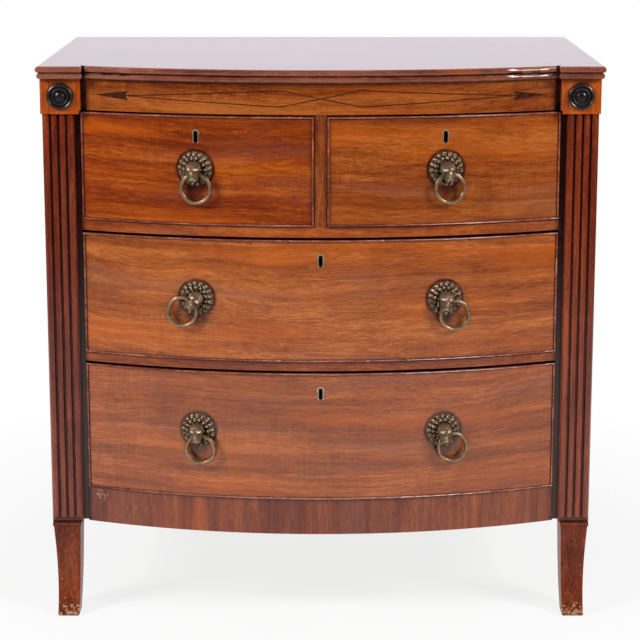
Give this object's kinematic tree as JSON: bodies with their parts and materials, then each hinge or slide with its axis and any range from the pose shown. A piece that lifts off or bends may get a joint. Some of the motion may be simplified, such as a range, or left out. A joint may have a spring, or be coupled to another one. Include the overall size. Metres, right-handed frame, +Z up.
{
  "type": "bow front chest of drawers",
  "caption": "Bow front mahogany chest with short drawers over long ones, reeded pilasters, sabre legs, inlaid frieze and lion mask ring pulls that swing.",
  "frame": {"origin": "on the floor, under the middle of the chest's bounding box", "axes": "+Z up, +X to the right as seen from the front, the bowed front faces -Y"},
  "size_m": [0.975, 0.6399, 0.989],
  "materials": {
    "carcass_mahogany": "French polished dark red-brown mahogany",
    "top_mahogany": "French polished mahogany, slightly faded",
    "frieze_mahogany": "French polished golden mahogany veneer",
    "drawer_front_mahogany": "French polished figured mahogany veneer",
    "cockbead_mahogany": "French polished mahogany",
    "ebony_stringing": "polished ebony",
    "ebonised_wood": "ebonised and polished",
    "carcase_pine": "unfinished aged pine",
    "drawer_lining_wood": "unfinished aged oak lining",
    "lock_brass": "dull old brass",
    "antique_brass": "dark patinated cast brass, worn bright on the high spots"
  },
  "bodies": {
    "carcass": {"top": "top_mahogany", "frieze": "frieze_mahogany", "frieze_inlay": "ebony_stringing", "corner_block_left": "carcass_mahogany", "corner_block_right": "carcass_mahogany", "roundels": "ebonised_wood", "pilaster_left": "carcass_mahogany", "pilaster_right": "carcass_mahogany", "front_leg_left": "carcass_mahogany", "front_leg_right": "carcass_mahogany", "back_legs": "carcass_mahogany", "side_left": "carcass_mahogany", "side_right": "carcass_mahogany", "rail_upper": "carcass_mahogany", "rail_lower": "carcass_mahogany", "apron": "carcass_mahogany", "muntin": "carcass_mahogany", "dustboard_upper": "carcase_pine", "dustboard_lower": "carcase_pine", "bottom_board": "carcase_pine", "back_boards": "carcase_pine", "top_frame": "carcase_pine", "drawer_guides": "carcase_pine", "drawer_stops": "carcase_pine", "glue_blocks": "carcase_pine"},
    "short_left_drawer": {"front_short_left": "drawer_front_mahogany", "cockbeads_short_left": "cockbead_mahogany", "box_short_left": "drawer_lining_wood", "bottom_short_left": "drawer_lining_wood", "lock_short_left": "lock_brass", "masks_short_left": "antique_brass"},
    "short_left_bolt": {"bolt_short_left": "lock_brass"},
    "short_right_drawer": {"front_short_right": "drawer_front_mahogany", "cockbeads_short_right": "cockbead_mahogany", "box_short_right": "drawer_lining_wood", "bottom_short_right": "drawer_lining_wood", "lock_short_right": "lock_brass", "masks_short_right": "antique_brass"},
    "short_right_bolt": {"bolt_short_right": "lock_brass"},
    "long_upper_drawer": {"front_long_upper": "drawer_front_mahogany", "cockbeads_long_upper": "cockbead_mahogany", "box_long_upper": "drawer_lining_wood", "bottom_long_upper": "drawer_lining_wood", "lock_long_upper": "lock_brass", "masks_long_upper": "antique_brass"},
    "long_upper_bolt": {"bolt_long_upper": "lock_brass"},
    "long_lower_drawer": {"front_long_lower": "drawer_front_mahogany", "cockbeads_long_lower": "cockbead_mahogany", "box_long_lower": "drawer_lining_wood", "bottom_long_lower": "drawer_lining_wood", "lock_long_lower": "lock_brass", "masks_long_lower": "antique_brass"},
    "long_lower_bolt": {"bolt_long_lower": "lock_brass"},
    "short_left_ring_pull": {"ring_short_left": "antique_brass"},
    "short_right_ring_pull": {"ring_short_right": "antique_brass"},
    "long_upper_left_ring_pull": {"ring_long_upper_left": "antique_brass"},
    "long_upper_right_ring_pull": {"ring_long_upper_right": "antique_brass"},
    "long_lower_left_ring_pull": {"ring_long_lower_left": "antique_brass"},
    "long_lower_right_ring_pull": {"ring_long_lower_right": "antique_brass"}
  },
  "joints": [
    {"name": "short_left_drawer_slide", "type": "slide", "parent": "carcass", "child": "short_left_drawer", "axis": [0, -1, 0], "range_m": [0, 0.34]},
    {"name": "short_left_bolt_throw", "type": "slide", "parent": "short_left_drawer", "child": "short_left_bolt", "axis": [0, 0, 1], "range_m": [0, 0.008]},
    {"name": "short_right_drawer_slide", "type": "slide", "parent": "carcass", "child": "short_right_drawer", "axis": [0, -1, 0], "range_m": [0, 0.34]},
    {"name": "short_right_bolt_throw", "type": "slide", "parent": "short_right_drawer", "child": "short_right_bolt", "axis": [0, 0, 1], "range_m": [0, 0.008]},
    {"name": "long_upper_drawer_slide", "type": "slide", "parent": "carcass", "child": "long_upper_drawer", "axis": [0, -1, 0], "range_m": [0, 0.34]},
    {"name": "long_upper_bolt_throw", "type": "slide", "parent": "long_upper_drawer", "child": "long_upper_bolt", "axis": [0, 0, 1], "range_m": [0, 0.008]},
    {"name": "long_lower_drawer_slide", "type": "slide", "parent": "carcass", "child": "long_lower_drawer", "axis": [0, -1, 0], "range_m": [0, 0.34]},
    {"name": "long_lower_bolt_throw", "type": "slide", "parent": "long_lower_drawer", "child": "long_lower_bolt", "axis": [0, 0, 1], "range_m": [0, 0.008]},
    {"name": "short_left_ring_swing", "type": "hinge", "parent": "short_left_drawer", "child": "short_left_ring_pull", "pos_m": [-0.21535, -0.29694, 0.81003], "axis": [-0.9789, 0.1846, -0.0872], "range_deg": [-4, 80]},
    {"name": "short_right_ring_swing", "type": "hinge", "parent": "short_right_drawer", "child": "short_right_ring_pull", "pos_m": [0.21727, -0.29657, 0.8101], "axis": [-0.9706, -0.183, -0.1564], "range_deg": [-4, 80]},
    {"name": "long_upper_left_ring_swing", "type": "hinge", "parent": "long_upper_drawer", "child": "long_upper_left_ring_pull", "pos_m": [-0.22169, -0.29574, 0.58644], "axis": [-0.6826, 0.1287, 0.7193], "range_deg": [-4, 80]},
    {"name": "long_upper_right_ring_swing", "type": "hinge", "parent": "long_upper_drawer", "child": "long_upper_right_ring_pull", "pos_m": [0.21985, -0.29609, 0.585], "axis": [-0.8595, -0.1621, -0.4848], "range_deg": [-4, 80]},
    {"name": "long_lower_left_ring_swing", "type": "hinge", "parent": "long_lower_drawer", "child": "long_lower_left_ring_pull", "pos_m": [-0.21467, -0.29706, 0.34812], "axis": [-0.9677, 0.1825, -0.1736], "range_deg": [-4, 80]},
    {"name": "long_lower_right_ring_swing", "type": "hinge", "parent": "long_lower_drawer", "child": "long_lower_right_ring_pull", "pos_m": [0.21961, -0.29613, 0.34887], "axis": [-0.8756, -0.1651, -0.454], "range_deg": [-4, 80]}
  ]
}
